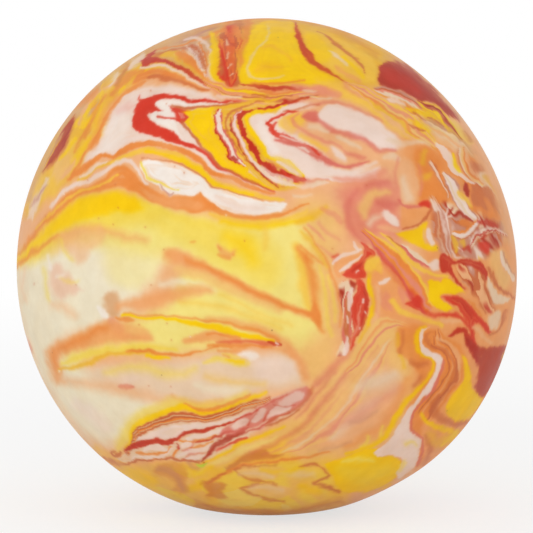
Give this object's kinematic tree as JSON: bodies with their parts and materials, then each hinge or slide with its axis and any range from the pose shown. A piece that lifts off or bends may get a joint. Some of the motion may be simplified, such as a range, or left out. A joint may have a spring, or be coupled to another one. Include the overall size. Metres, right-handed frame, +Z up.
{
  "type": "stretchy gummy ball",
  "caption": "Hand-sized soft squeeze ball: a thick marbled rubber skin filled with gel, closed at the back by a barbed plug in a glued port, resting on a slightly flattened foot.",
  "frame": {"origin": "middle of the flat foot that the ball rests on", "axes": "+Z up, -Y towards the camera, +Y along the fill port at the back, +X to the right in the picture"},
  "size_m": [0.07, 0.07, 0.0691],
  "materials": {
    "marbled_rubber": "satin",
    "soft_gel": "satin",
    "plug_rubber": "satin",
    "clear_glue": "gloss"
  },
  "bodies": {
    "root": {"marbled_skin": "marbled_rubber", "gel_core": "soft_gel", "port_plug": "plug_rubber", "glue_bead": "clear_glue"}
  },
  "joints": []
}
